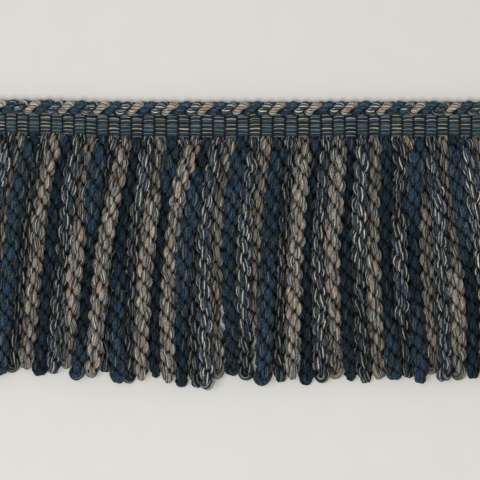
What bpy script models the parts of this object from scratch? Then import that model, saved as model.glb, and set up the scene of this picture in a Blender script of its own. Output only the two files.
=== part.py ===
"""Bullion fringe: a cut length lying face up, its heading at the back and its bullions to the front."""
import math
from collections import namedtuple

import bmesh
import bpy
import numpy as np

# Sizes, in metres
MM = 0.001
PIECE_GAP = 0.32 * MM
HEADING_HEIGHT = 11.4 * MM
HEADING_THICKNESS = 4.4 * MM
GROOVE_WIDTH = 1.1 * MM
GROOVE_DEPTH = 0.8 * MM
EDGE_RADIUS = 3.45 * MM
EDGE_VALLEY = 2.55 * MM
EDGE_STEPS_PER_TURN = 6
ROOT_STRIP_DEPTH = 1.6 * MM
ROOT_STRIP_THICKNESS = 1.1 * MM
ROOT_STRIP_GAP = 0.45 * MM
ROOT_HALF_WIDTH = 2.5 * MM
SWELL_LENGTH = 10.0 * MM
STRAND_WIDE = 3.85 * MM
STRAND_NARROW = 3.0 * MM
STRAND_STEPS = 30
SETTLE_STEP = 3.0 * MM
LIFT_HEIGHT = 5.5 * MM

HEADING_LOW = -0.5 * HEADING_HEIGHT
ROOT_BACK = HEADING_LOW - PIECE_GAP
ROOT_FRONT = ROOT_BACK - ROOT_STRIP_DEPTH

# Distance from the heading's middle line to each place where a bullion's drift is given
SHOULDER = 20.9 * MM
WAIST = 42.1 * MM
HIP = 68.6 * MM
KNEE = 97.8 * MM
LIFT_PLACES = (18.0 * MM, 47.0 * MM, 87.0 * MM, 130.0 * MM)

# One row for each bullion, in millimetres: the weft it is made of, where it leaves the heading, how far
# it has drifted sideways at the shoulder, waist, hip, knee and tip, how far its tip lies from the
# heading's middle line, and how high it lies on its neighbours, from 0 to 4, at the four lift places.
Bullion = namedtuple("Bullion", "weft head shoulder waist hip knee tip drop lift")
BULLIONS = [Bullion(*row) for row in (
    ("C", -135.9, -3.7, -8.5, -10.6, -13.8, -18.5, 133.3, "3333"),
    ("A", -129.7, -1.6, -6.9, -10.6, -14.1, -18.4, 134.9, "2100"),
    ("B", -124.0, -3.2, -8.2, -10.3, -13.5, -17.5, 131.7, "1333"),
    ("C", -117.9, -4.8, -9.0, -10.9, -13.8, -18.0, 133.8, "0000"),
    ("A", -111.6, -5.3, -10.1, -11.7, -14.8, -18.0, 132.8, "3222"),
    ("B", -105.7, -5.8, -9.0, -11.7, -15.9, -18.8, 132.2, "1212"),
    ("C", -99.6, -5.6, -7.7, -11.4, -14.6, -17.0, 130.1, "4334"),
    ("A", -93.5, -3.7, -6.9, -9.5, -12.5, -15.9, 133.8, "1123"),
    ("B", -87.5, -3.4, -6.6, -7.7, -11.1, -14.0, 132.2, "4433"),
    ("C", -81.4, -3.2, -5.0, -6.4, -8.7, -13.8, 129.6, "0232"),
    ("A", -75.3, -3.4, -4.8, -6.9, -8.5, -14.8, 135.4, "3113"),
    ("B", -69.2, -3.7, -5.8, -5.8, -5.8, -4.5, 131.7, "0001"),
    ("C", -63.1, -2.9, -7.7, -13.0, -13.5, -18.0, 133.8, "4443"),
    ("A", -57.0, -1.6, -4.2, -8.7, -10.1, -9.8, 137.0, "1122"),
    ("B", -50.9, 0.3, -3.2, -7.2, -9.3, -10.9, 137.0, "4421"),
    ("C", -44.8, -0.5, -2.9, -6.9, -9.5, -10.1, 135.4, "0233"),
    ("A", -38.4, -1.6, -4.2, -8.2, -9.0, -8.7, 133.8, "2001"),
    ("B", -32.1, 0.0, 1.1, 3.2, 5.3, 6.4, 139.7, "0002"),
    ("C", -26.0, -5.3, -10.9, -14.3, -15.1, -14.0, 136.5, "4444"),
    ("A", -19.9, -4.2, -8.7, -12.2, -13.5, -13.0, 139.7, "1113"),
    ("B", -13.5, -2.7, -6.1, -8.0, -7.2, -6.4, 139.7, "4444"),
    ("C", -7.2, -3.7, -6.4, -8.0, -8.0, -7.7, 134.9, "0121"),
    ("A", -0.8, -4.0, -6.9, -6.9, -7.4, -6.4, 133.8, "2112"),
    ("B", 5.6, -2.1, -5.3, -5.8, -5.6, -4.5, 135.9, "2332"),
    ("C", 11.9, -1.9, -5.3, -6.6, -5.8, 0.5, 137.0, "2210"),
    ("A", 18.3, -0.5, -4.5, -6.4, -7.4, -10.6, 137.5, "1233"),
    ("B", 24.9, -0.8, -2.9, -4.2, -3.4, -5.6, 137.0, "1122"),
    ("C", 31.3, 0.0, -2.4, -5.0, -4.2, -6.6, 134.4, "4433"),
    ("A", 37.6, -1.3, -4.5, -6.1, -5.6, -4.5, 138.1, "0013"),
    ("B", 43.7, -0.8, -3.4, -5.3, -4.8, -3.2, 137.0, "4443"),
    ("C", 50.1, 1.1, -2.7, -4.2, -3.7, -2.1, 134.9, "3222"),
    ("A", 56.4, -1.6, -4.2, -3.7, -3.2, -0.5, 135.9, "0113"),
    ("B", 62.8, -0.3, -2.1, -2.1, -1.6, 1.6, 137.5, "3442"),
    ("C", 68.9, -1.3, -2.4, -1.3, 0.3, 4.5, 135.4, "0133"),
    ("A", 74.7, 0.3, -1.3, -0.3, 1.3, 6.4, 135.4, "1113"),
    ("B", 80.8, 1.1, 1.3, -0.3, 2.4, 6.4, 134.9, "2220"),
    ("C", 86.7, 3.7, 9.3, 10.6, 12.7, 11.7, 132.2, "0242"),
    ("A", 92.8, -2.4, -4.0, -4.0, -1.3, 0.3, 137.0, "3113"),
    ("B", 99.1, 1.3, 5.0, 5.8, 7.4, 5.3, 135.9, "4433"),
    ("C", 105.2, 1.3, 3.7, 6.4, 9.0, 8.2, 135.4, "0033"),
    ("A", 111.3, -0.8, 1.6, 6.6, 8.7, 10.9, 135.4, "1112"),
    ("B", 117.4, 1.3, 5.0, 8.0, 10.6, 12.2, 136.5, "3333"),
    ("C", 123.5, 0.3, 3.4, 8.7, 11.9, 13.5, 134.4, "1122"),
    ("A", 129.6, 1.1, 4.2, 8.5, 11.1, 13.2, 137.0, "1111"),
    ("B", 135.7, 1.9, 5.0, 8.7, 11.9, 14.0, 135.9, "3333"),
)]

# Name, colour and place in the stack of root strips, for each weft
WEFTS = {
    "A": ("bullions_navy", (0.055, 0.095, 0.150, 1.0), 0),
    "B": ("bullions_blue_cream", (0.250, 0.270, 0.330, 1.0), 1),
    "C": ("bullions_peach_cream", (0.420, 0.370, 0.320, 1.0), 2),
}


def ease(low, high, value):
    """Goes from 0 to 1 between two values, with soft ends."""
    t = min(1.0, max(0.0, (value - low) / (high - low)))
    return t * t * (3.0 - 2.0 * t)


def heading_rise(x):
    """How far the heading swings up from its middle line at x."""
    left = 2.1 * MM * (1.0 - ease(-108.0 * MM, -62.0 * MM, x))
    right = 0.4 * MM * ease(20.0 * MM, 60.0 * MM, x)
    return left + right


def smooth_route(places, values, wanted):
    """Values at the wanted places, on a smooth line through the given ones."""
    places = np.asarray(places, float)
    values = np.asarray(values, float)
    slopes = np.gradient(values, places)
    index = np.clip(np.searchsorted(places, wanted) - 1, 0, len(places) - 2)
    span = places[index + 1] - places[index]
    t = np.clip((wanted - places[index]) / span, 0.0, 1.0)
    start = values[index] * (2 * t**3 - 3 * t**2 + 1) + slopes[index] * span * (t**3 - 2 * t**2 + t)
    end = values[index + 1] * (3 * t**2 - 2 * t**3) + slopes[index + 1] * span * (t**3 - t**2)
    return start + end


def strip_level(weft):
    """Height of the middle of a weft's root strip."""
    place = WEFTS[weft][2]
    return 0.5 * ROOT_STRIP_THICKNESS + place * (ROOT_STRIP_THICKNESS + ROOT_STRIP_GAP)


def swell(run):
    """How far a bullion has swollen, from 0 at its root to 1, at a run below the root."""
    return np.clip(run / SWELL_LENGTH, 0.0, 1.0)


def settled_routes():
    """Lays the bullions beside and over each other: their places, sideways and up, at each station."""
    stations = np.arange(-ROOT_FRONT, 142.0 * MM, SETTLE_STEP)
    side = []
    lift = []
    for b in BULLIONS:
        places = (-ROOT_FRONT, SHOULDER, WAIST, HIP, KNEE, b.drop * MM)
        drift = (0.0, b.shoulder, b.waist, b.hip, b.knee, b.tip)
        side.append(b.head * MM + smooth_route(places, drift, stations) * MM)
        heights = [int(digit) / 4.0 * LIFT_HEIGHT for digit in b.lift]
        lift.append(np.interp(stations, LIFT_PLACES, heights))
    side = np.array(side)
    wanted_side = side.copy()
    grown = swell(stations + ROOT_FRONT)
    radius = ROOT_HALF_WIDTH + 0.3 * MM + (STRAND_WIDE - ROOT_HALF_WIDTH - 0.3 * MM) * grown
    floor = 0.5 * ROOT_STRIP_THICKNESS + (STRAND_WIDE - 0.5 * ROOT_STRIP_THICKNESS) * grown
    level = np.array([[strip_level(b.weft)] for b in BULLIONS])
    up = floor + np.array(lift) * grown + (level - 0.5 * ROOT_STRIP_THICKNESS) * (1.0 - grown)
    apart = 2.0 * radius + PIECE_GAP + 0.12 * MM
    for turn in range(700):
        settling = turn < 600
        side_slope = np.gradient(side, SETTLE_STEP, axis=1)
        up_slope = np.gradient(up, SETTLE_STEP, axis=1)
        dx = side[:, None, :] - side[None, :, :]
        dz = up[:, None, :] - up[None, :, :]
        lean_x = 0.5 * (side_slope[:, None, :] + side_slope[None, :, :])
        lean_z = 0.5 * (up_slope[:, None, :] + up_slope[None, :, :])
        along = (dx * lean_x + dz * lean_z) / np.sqrt(1.0 + lean_x**2 + lean_z**2)
        reach = np.sqrt(np.maximum(dx**2 + dz**2 - along**2, 1e-12))
        short = np.clip(apart - reach, 0.0, None)
        for i in range(len(BULLIONS)):
            short[i, i, :] = 0.0
        steep = dz + np.where(dz < 0.0, -1.0, 1.0) * 0.9 * MM * settling
        flat = np.hypot(dx, steep) + 1e-9
        push_x = (short * dx / flat).sum(axis=1) * 0.12
        push_z = (short * steep / flat).sum(axis=1) * 0.42
        push_x[:, 0] = 0.0
        push_z[:, 0] = 0.0
        side += push_x
        up += push_z
        if settling:
            side += 0.16 * (wanted_side - side)
            up[:, 1:] -= 0.03 * MM
            for line in (side, up):
                line[:, 1:-1] += 0.22 * (line[:, :-2] + line[:, 2:] - 2.0 * line[:, 1:-1])
        up = np.maximum(up, floor)
        up[:, 0] = level[:, 0]
    return stations, side, up


def make_material(name, colour):
    """Matt yarn of one colour."""
    material = bpy.data.materials.new(name)
    material.use_nodes = True
    shader = material.node_tree.nodes["Principled BSDF"]
    shader.inputs["Base Color"].default_value = colour
    shader.inputs["Roughness"].default_value = 0.95
    material.diffuse_color = colour
    return material


def finish_object(mesh_edit, name, colour, collection):
    """Turns an edited mesh into a named object of the fringe."""
    bmesh.ops.recalc_face_normals(mesh_edit, faces=mesh_edit.faces)
    bmesh.ops.triangulate(mesh_edit, faces=[f for f in mesh_edit.faces if len(f.verts) > 3])
    mesh = bpy.data.meshes.new(name)
    mesh_edit.to_mesh(mesh)
    mesh_edit.free()
    made = bpy.data.objects.new(name, mesh)
    collection.objects.link(made)
    mesh.materials.append(make_material(name, colour))
    return made


def block_edges():
    """Places of the grooves between the heading's blocks, and of its two cut ends."""
    heads = [b.head * MM for b in BULLIONS]
    between = [0.5 * (a + b) for a, b in zip(heads[:-1], heads[1:])]
    first = heads[0] - (between[0] - heads[0])
    last = heads[-1] + (heads[-1] - between[-1])
    return [first] + between + [last]


def bridge_sections(mesh_edit, sections):
    """Skins a row of like sections and closes both ends."""
    rings = [[mesh_edit.verts.new(point) for point in section] for section in sections]
    count = len(rings[0])
    for ring, following in zip(rings[:-1], rings[1:]):
        for k in range(count):
            n = (k + 1) % count
            mesh_edit.faces.new((ring[k], ring[n], following[n], following[k]))
    mesh_edit.faces.new(rings[0])
    mesh_edit.faces.new(rings[-1])


def make_heading(collection):
    """The woven heading: one raised rib for each bullion, and a flat back."""
    edges = block_edges()
    profile = [(edges[0], HEADING_THICKNESS)]
    for edge in edges[1:-1]:
        profile.append((edge - 0.5 * GROOVE_WIDTH, HEADING_THICKNESS))
        profile.append((edge, HEADING_THICKNESS - GROOVE_DEPTH))
        profile.append((edge + 0.5 * GROOVE_WIDTH, HEADING_THICKNESS))
    profile.append((edges[-1], HEADING_THICKNESS))
    low = HEADING_LOW
    high = -HEADING_LOW
    sections = []
    for x, top in profile:
        rise = heading_rise(x)
        sections.append([(x, y + rise, z) for y, z in ((low, 0.0), (high, 0.0), (high, top), (low, top))])
    mesh_edit = bmesh.new()
    bridge_sections(mesh_edit, sections)
    return finish_object(mesh_edit, "heading_tape", (0.190, 0.240, 0.280, 1.0), collection)


def make_edge(collection):
    """The twisted edge over the heading, of three strands that turn once in three blocks."""
    edges = block_edges()
    pitch = 3.0 * (edges[-1] - edges[0]) / len(BULLIONS)
    steps = round((edges[-1] - edges[0]) / pitch * EDGE_STEPS_PER_TURN)
    middle = -HEADING_LOW + PIECE_GAP + EDGE_RADIUS
    mesh_edit = bmesh.new()
    rings = []
    for i in range(steps + 1):
        x = edges[0] + (edges[-1] - edges[0]) * i / steps
        ring = []
        for k in range(6):
            # Ridge and valley change places at each sixth of a turn
            radius = EDGE_RADIUS if (i + k) % 2 == 0 else EDGE_VALLEY
            angle = math.radians(60.0 * k + 30.0)
            y = middle + heading_rise(x) + radius * math.cos(angle)
            z = EDGE_RADIUS + radius * math.sin(angle)
            ring.append(mesh_edit.verts.new((x, y, z)))
        rings.append(ring)
    skin_with_ridges(mesh_edit, rings, 1)
    mesh_edit.faces.new(rings[0])
    mesh_edit.faces.new(rings[-1])
    return finish_object(mesh_edit, "twisted_edge", (0.230, 0.250, 0.280, 1.0), collection)


def skin_with_ridges(mesh_edit, rings, turn):
    """Skins a row of rings so that each ridge winds round by one corner from ring to ring."""
    for ring, following in zip(rings[:-1], rings[1:]):
        count = len(ring)
        for k in range(count):
            n = (k + 1) % count
            if turn > 0:
                mesh_edit.faces.new((ring[k], ring[n], following[n]))
                mesh_edit.faces.new((ring[k], following[n], following[k]))
            else:
                mesh_edit.faces.new((ring[k], ring[n], following[k]))
                mesh_edit.faces.new((ring[n], following[n], following[k]))


def strand_rings(mesh_edit, root_ring, stations, side, up, drop):
    """Rings of one bullion from its root to its tip, wide and narrow by turns."""
    rings = [root_ring]
    length = drop * MM + ROOT_FRONT
    runs = [length * (i + 0.7) / (STRAND_STEPS + 0.7) for i in range(STRAND_STEPS)]
    runs[-1] = length - 2.6 * MM
    shrink = [1.0] * STRAND_STEPS
    runs.append(length - 0.9 * MM)
    shrink.append(0.78)
    runs.append(length)
    shrink.append(0.42)
    for i, (run, scale) in enumerate(zip(runs, shrink)):
        grown = float(swell(run))
        half_width = ROOT_HALF_WIDTH + (STRAND_WIDE - ROOT_HALF_WIDTH) * grown
        half_height = 0.5 * ROOT_STRIP_THICKNESS + (STRAND_WIDE - 0.5 * ROOT_STRIP_THICKNESS) * grown
        slim = STRAND_NARROW / STRAND_WIDE
        wide = (1.0, slim) if i % 2 == 0 else (slim, 1.0)
        x = float(np.interp(run - ROOT_FRONT, stations, side))
        z = float(np.interp(run - ROOT_FRONT, stations, up))
        y = ROOT_FRONT + heading_rise(x) * (1.0 - run / length) - run
        w = half_width * wide[0] * scale
        h = half_height * wide[1] * scale
        ring = [(x + w, y, z), (x, y, z + h), (x - w, y, z), (x, y, z - h)]
        rings.append([mesh_edit.verts.new(point) for point in ring])
    return rings


def make_bullions(weft, routes, collection):
    """The bullions of one weft, standing apart but for a narrow strip that joins their roots."""
    name, colour, _ = WEFTS[weft]
    stations, side, up = routes
    level = strip_level(weft)
    low = level - 0.5 * ROOT_STRIP_THICKNESS
    high = level + 0.5 * ROOT_STRIP_THICKNESS
    edges = block_edges()
    mine = [i for i, b in enumerate(BULLIONS) if b.weft == weft]
    cuts = [edges[0]]
    for i in mine:
        cuts += [BULLIONS[i].head * MM - ROOT_HALF_WIDTH, BULLIONS[i].head * MM + ROOT_HALF_WIDTH]
    cuts.append(edges[-1])
    mesh_edit = bmesh.new()
    columns = []
    for x in cuts:
        rise = heading_rise(x)
        corners = ((ROOT_FRONT, low), (ROOT_FRONT, high), (ROOT_BACK, high), (ROOT_BACK, low))
        columns.append([mesh_edit.verts.new((x, y + rise, z)) for y, z in corners])
    for place, (column, following) in enumerate(zip(columns[:-1], columns[1:])):
        for k in range(4):
            if k == 0 and place % 2 == 1:
                continue
            n = (k + 1) % 4
            mesh_edit.faces.new((column[k], column[n], following[n], following[k]))
    mesh_edit.faces.new(columns[0])
    mesh_edit.faces.new(columns[-1])
    for count, i in enumerate(mine):
        left = columns[2 * count + 1]
        right = columns[2 * count + 2]
        root_ring = [right[0], right[1], left[1], left[0]]
        rings = strand_rings(mesh_edit, root_ring, stations, side[i], up[i], BULLIONS[i].drop)
        skin_with_ridges(mesh_edit, rings, 1)
        mesh_edit.faces.new(rings[-1])
    return finish_object(mesh_edit, name, colour, collection)


def main():
    for old in list(bpy.data.objects):
        bpy.data.objects.remove(old, do_unlink=True)
    collection = bpy.data.collections.new("bullion_fringe")
    bpy.context.scene.collection.children.link(collection)
    make_heading(collection)
    make_edge(collection)
    routes = settled_routes()
    for weft in WEFTS:
        make_bullions(weft, routes, collection)


main()
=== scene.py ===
import math
from collections import namedtuple

import bpy
import numpy as np
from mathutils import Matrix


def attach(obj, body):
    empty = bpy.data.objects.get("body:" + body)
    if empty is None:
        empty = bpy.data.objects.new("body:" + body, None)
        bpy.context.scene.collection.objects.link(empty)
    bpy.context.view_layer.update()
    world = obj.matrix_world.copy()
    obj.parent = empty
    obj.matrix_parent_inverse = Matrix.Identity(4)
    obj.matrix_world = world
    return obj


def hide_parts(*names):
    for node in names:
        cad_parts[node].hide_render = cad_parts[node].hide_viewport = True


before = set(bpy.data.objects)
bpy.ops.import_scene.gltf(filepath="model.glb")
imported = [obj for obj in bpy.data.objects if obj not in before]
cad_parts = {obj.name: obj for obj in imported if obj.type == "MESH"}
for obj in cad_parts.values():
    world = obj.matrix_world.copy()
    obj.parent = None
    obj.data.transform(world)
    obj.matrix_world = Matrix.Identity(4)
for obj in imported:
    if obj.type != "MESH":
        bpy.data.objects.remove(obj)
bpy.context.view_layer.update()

# Sizes, in metres
MM = 0.001
PIECE_GAP = 0.32 * MM
MERGE_DISTANCE = 0.002 * MM
HEADING_HEIGHT = 11.4 * MM
HEADING_THICKNESS = 4.4 * MM
HEADING_LOW = -0.5 * HEADING_HEIGHT
ROOT_FRONT = HEADING_LOW - PIECE_GAP - 1.6 * MM
ROOT_HALF_WIDTH = 2.5 * MM
ROOT_HALF_HEIGHT = 0.55 * MM
STRIP_STEP = 1.55 * MM
SWELL_LENGTH = 10.0 * MM
BULLION_RADIUS = 3.85 * MM
SETTLE_STEP = 3.0 * MM
LIFT_HEIGHT = 5.5 * MM
EDGE_MIDDLE = 3.05 * MM
EDGE_HEIGHT = 4.35 * MM
EDGE_LEAD = 5.1 * MM
EDGE_STEEPNESS = 0.55
EDGE_STEPS = 500
EDGE_STRAND_OFFSET = 1.50 * MM
EDGE_PLY_OFFSET = 0.78 * MM
EDGE_PLY_SPREAD = 0.55 * MM
EDGE_PLY_RADIUS = 1.74 * MM
EDGE_PLY_BULGE = 0.14
EDGE_YARN_PITCH = 9.0 * MM
EDGE_YARNS = 8
EDGE_YARN_RIDGE = 0.09 * MM
# Reach from the edge's middle line against which the painted shade deep inside it is measured
EDGE_REACH = 3.1 * MM

# The heading swings up at its left end, and a little at its right one. Its upper rows and the edge take
# only a share of the swing.
LEFT_RISE = 2.1 * MM
LEFT_RISE_FULL = -108.0 * MM
LEFT_RISE_NONE = -62.0 * MM
RIGHT_RISE = 0.4 * MM
RIGHT_RISE_NONE = 20.0 * MM
RIGHT_RISE_FULL = 60.0 * MM
TOP_RISE = 0.45

# Warp yarns of the heading: the rows in each of its two sets, a yarn's radius and the room it takes, and
# where the sets lie off their rows, as shares of a row. The light set hangs lowest at the lower edge.
# The arches are the way of a yarn over and under one block: along it from -1 to 1, and up.
WARP_ROWS = 12
WARP_RADIUS = 0.41 * MM
WARP_SIDES = 6
WARP_ROOM = 0.49 * MM
DARK_SHIFT = -0.10
LIGHT_SHIFT = 0.06
LIGHT_DROOP = 0.72
OVER_ARCH = ((-1.0, 0.0), (-0.9, 0.3), (-0.8, 0.72), (-0.6, 0.95), (-0.25, 1.0),
             (0.25, 1.0), (0.6, 0.95), (0.8, 0.72), (0.9, 0.3))
UNDER_ARCH = ((-1.0, 0.0), (-0.85, -0.7), (-0.5, -1.0), (0.5, -1.0), (0.85, -0.7))

# How far the rows arch up in a block, and how far they lean, in millimetres: the least and the most
BLOCK_ARCS = (0.12, 0.55)
BLOCK_LEANS = (-0.12, 0.12)

# Packed wefts inside the heading, as a band: its outline across and up, in millimetres. Laid out flat it
# is as long as the heading along its blocks.
CORE_BAND = ((5.3, 1.25), (-5.5, 1.25), (-7.6, 0.3), (-7.6, -1.25), (5.3, -1.25))
CORE_STEPS = 91
CORE_INSET = 0.2 * MM

# Camera and light. The picture shows this width of the fringe, at the height of its face.
PICTURE_WIDTH = 254.4 * MM
FACE_HEIGHT = 6.0 * MM
CAMERA_PLACE = (-2.4 * MM, -60.7 * MM, 1.5)
SENSOR_WIDTH = 36.0
SKY_COLOUR = (1.0, 0.99, 0.965, 1.0)
SKY_STRENGTH = 0.42
LAMP_PLACE = (-0.20, -0.25, 1.2)
LAMP_AIM = (0.0, -0.06, 0.0)
LAMP_SIZE = 0.7
LAMP_POWER = 9.2
FLOOR_SIZE = 4.0

# Twist of a bullion: two legs laid round each other, each leg of three plies laid the other way, and six
# yarns of three threads round each ply. A ply is fat where it bulges out and slim inside.
LEG_PITCH = 18.4 * MM
LEG_OFFSET = 1.16 * MM
PLY_PITCH = 17.9 * MM
PLY_OFFSET = 1.24 * MM
PLY_RADIUS = 1.56 * MM
PLY_BULGE = 0.32
PLY_LINGER = 0.26
LEG_PLIES = 3
YARNS_ROUND_PLY = 6
YARN_RIDGE = 0.11 * MM
YARN_PITCH = -90.0 * MM
CLOSE_SPACING = 7.2 * MM
CLOSE_REACH = 110.0 * MM
TIP_REACH = 140.0 * MM
TIP_SPACING = 8.0 * MM
PLY_STEP = 1.30 * MM
TIP_STEPS = 8
ROOT_SLIMNESS = 0.64
ROOT_SWELL = 6.0 * MM
# Painted shade on low-lying cords fades out over this length below the heading
ROOT_SHADE = 12.0 * MM
# Height over which a cord goes from lowest to highest: it sets the painted shade of low cords and how
# much high ones grow
PILE_HEIGHT = 7.0 * MM
PILE_GROWTH = 0.09
# Painted shade: how much darker the flanks of a low-lying cord are drawn
FLANK_SHADE = 0.44
# Painted shade: how wide the dark lines are drawn where two plies meet
MEETING_SHADE = 0.34 * MM
OUT_OF_REACH = 9.0 * MM
TIP_ROOM = 0.2 * MM
FLOOR_ROOM = 0.15 * MM
BULLION_REACH = LEG_OFFSET + PLY_OFFSET + PLY_RADIUS * (1.0 + PLY_BULGE)
STACK_SPREAD = 1.08

# Unevenness of a hand-laid cord: how far each measure wanders, and over what length
Wander = namedtuple("Wander", "amount wave")
CORD_WANDER = Wander(0.22 * MM, 34.0 * MM)
LEG_TURN_WANDER = Wander(0.25, 41.0 * MM)
PLY_TURN_WANDER = Wander(0.42, 27.0 * MM)
LEG_OFFSET_WANDER = Wander(0.06, 23.0 * MM)
PLY_OFFSET_WANDER = Wander(0.08, 19.0 * MM)
PLY_GIRTH_WANDER = Wander(0.10, 15.0 * MM)
YARN_TURN_WANDER = Wander(0.5, 31.0 * MM)
STRAND_TURN_WANDER = Wander(0.07, 47.0 * MM)
STRAND_PLY_WANDER = Wander(0.25, 31.0 * MM)
STRAND_GIRTH_WANDER = Wander(0.05, 13.0 * MM)
WARP_ROW_WANDER = Wander(0.09 * MM, 15.0 * MM)
WARP_GIRTH_WANDER = Wander(0.10, 9.0 * MM)

# Seeds of the unevenness: the first bullion, the first strand, the blocks, and the first row of each set
BULLION_SEED = 200
STRAND_SEED = 40
BLOCK_SEED = 90
WARP_SEEDS = (500, 600)

# Settling of the bullions: the rounds of it, how hard they are pushed apart and drawn back to their
# places, how fast they sink, and how much their lines are smoothed
LAST_STATION = 142.0 * MM
SETTLE_ROUNDS = 600
CLEAR_ROUNDS = 100
SPARE_GAP = 0.12 * MM
ROOT_SPARE = 0.3 * MM
STACK_BIAS = 0.9 * MM
SIDE_PUSH = 0.12
UP_PUSH = 0.42
DRAW_BACK = 0.16
SINK_STEP = 0.03 * MM
SMOOTHING = 0.22
CLOSE_ROUNDS = 160
CLOSE_PULL = 0.45
CLOSE_SMOOTHING = 0.10

# Distance from the heading's middle line to each place where a bullion's drift is given
SHOULDER = 20.9 * MM
WAIST = 42.1 * MM
HIP = 68.6 * MM
KNEE = 97.8 * MM
LIFT_PLACES = (18.0 * MM, 47.0 * MM, 87.0 * MM, 130.0 * MM)

# Narrow openings between neighbours, through which the floor shows, in millimetres: the place along
# the heading, how far below its middle line each one begins and ends, and how far from its middle the
# neighbours' own middles keep
Opening = namedtuple("Opening", "place start end reach")
OPENINGS = [Opening(*row) for row in (
    (-12.4, 86.0, 118.0, 4.4),
    (5.2, 96.0, 146.0, 4.25),
)]
OPENING_RAMP = 13.0 * MM

# One row for each bullion, in millimetres: the weft it is made of, where it leaves the heading, how far
# it has drifted sideways at the shoulder, waist, hip, knee and tip, how far its tip lies from the
# heading's middle line, and how high it lies on its neighbours, from 0 to 4, at the four lift places.
Bullion = namedtuple("Bullion", "weft head shoulder waist hip knee tip drop lift")
BULLIONS = [Bullion(*row) for row in (
    ("C", -135.9, -3.7, -8.5, -10.6, -13.8, -18.5, 133.3, "3333"),
    ("A", -129.7, -1.6, -6.9, -10.6, -14.1, -18.4, 134.9, "2100"),
    ("B", -124.0, -3.2, -8.2, -10.3, -13.5, -17.5, 131.7, "1333"),
    ("C", -117.9, -4.8, -9.0, -10.9, -13.8, -18.0, 133.8, "0000"),
    ("A", -111.6, -5.3, -10.1, -11.7, -14.8, -18.0, 132.8, "3222"),
    ("B", -105.7, -5.8, -9.0, -11.7, -15.9, -18.8, 132.2, "1212"),
    ("C", -99.6, -5.6, -7.7, -11.4, -14.6, -17.0, 130.1, "4334"),
    ("A", -93.5, -3.7, -6.9, -9.5, -12.5, -15.9, 133.8, "1123"),
    ("B", -87.5, -3.4, -6.6, -7.7, -11.1, -14.0, 132.2, "4433"),
    ("C", -81.4, -3.2, -5.0, -6.4, -8.7, -13.8, 129.6, "0232"),
    ("A", -75.3, -3.4, -4.8, -6.9, -8.5, -14.8, 135.4, "3113"),
    ("B", -69.2, -3.7, -5.8, -5.8, -5.8, -4.5, 131.7, "0001"),
    ("C", -63.1, -2.9, -7.7, -13.0, -13.5, -18.0, 133.8, "4443"),
    ("A", -57.0, -1.6, -4.2, -8.7, -10.1, -9.8, 137.0, "1122"),
    ("B", -50.9, 0.3, -3.2, -7.2, -9.3, -10.9, 137.0, "4421"),
    ("C", -44.8, -0.5, -2.9, -6.9, -9.5, -10.1, 135.4, "0233"),
    ("A", -38.4, -1.6, -4.2, -8.2, -9.0, -8.7, 133.8, "2001"),
    ("B", -32.1, 0.0, 1.1, 3.2, 5.3, 6.4, 139.7, "0002"),
    ("C", -26.0, -5.3, -10.9, -14.3, -15.1, -14.0, 136.5, "4444"),
    ("A", -19.9, -4.2, -8.7, -12.2, -13.5, -13.0, 139.7, "1113"),
    ("B", -13.5, -2.7, -6.1, -8.0, -7.2, -6.4, 139.7, "4444"),
    ("C", -7.2, -3.7, -6.4, -8.0, -8.0, -7.7, 134.9, "0121"),
    ("A", -0.8, -4.0, -6.9, -6.9, -7.4, -6.4, 133.8, "2112"),
    ("B", 5.6, -2.1, -5.3, -5.8, -5.6, -4.5, 135.9, "2332"),
    ("C", 11.9, -1.9, -5.3, -6.6, -5.8, 0.5, 137.0, "2210"),
    ("A", 18.3, -0.5, -4.5, -6.4, -7.4, -10.6, 137.5, "1233"),
    ("B", 24.9, -0.8, -2.9, -4.2, -3.4, -5.6, 137.0, "1122"),
    ("C", 31.3, 0.0, -2.4, -5.0, -4.2, -6.6, 134.4, "4433"),
    ("A", 37.6, -1.3, -4.5, -6.1, -5.6, -4.5, 138.1, "0013"),
    ("B", 43.7, -0.8, -3.4, -5.3, -4.8, -3.2, 137.0, "4443"),
    ("C", 50.1, 1.1, -2.7, -4.2, -3.7, -2.1, 134.9, "3222"),
    ("A", 56.4, -1.6, -4.2, -3.7, -3.2, -0.5, 135.9, "0113"),
    ("B", 62.8, -0.3, -2.1, -2.1, -1.6, 1.6, 137.5, "3442"),
    ("C", 68.9, -1.3, -2.4, -1.3, 0.3, 4.5, 135.4, "0133"),
    ("A", 74.7, 0.3, -1.3, -0.3, 1.3, 6.4, 135.4, "1113"),
    ("B", 80.8, 1.1, 1.3, -0.3, 2.4, 6.4, 134.9, "2220"),
    ("C", 86.7, 3.7, 9.3, 10.6, 12.7, 11.7, 132.2, "0242"),
    ("A", 92.8, -2.4, -4.0, -4.0, -1.3, 0.3, 137.0, "3113"),
    ("B", 99.1, 1.3, 5.0, 5.8, 7.4, 5.3, 135.9, "4433"),
    ("C", 105.2, 1.3, 3.7, 6.4, 9.0, 8.2, 135.4, "0033"),
    ("A", 111.3, -0.8, 1.6, 6.6, 8.7, 10.9, 135.4, "1112"),
    ("B", 117.4, 1.3, 5.0, 8.0, 10.6, 12.2, 136.5, "3333"),
    ("C", 123.5, 0.3, 3.4, 8.7, 11.9, 13.5, 134.4, "1122"),
    ("A", 129.6, 1.1, 4.2, 8.5, 11.1, 13.2, 137.0, "1111"),
    ("B", 135.7, 1.9, 5.0, 8.7, 11.9, 14.0, 135.9, "3333"),
)]

YARN_MAP = "yarn"
DEPTH = "depth"
PILE = "pile"
GAP = "gap"
Route = namedtuple("Route", "points girth turn centre ahead pile size")


# Camera and light

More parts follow.
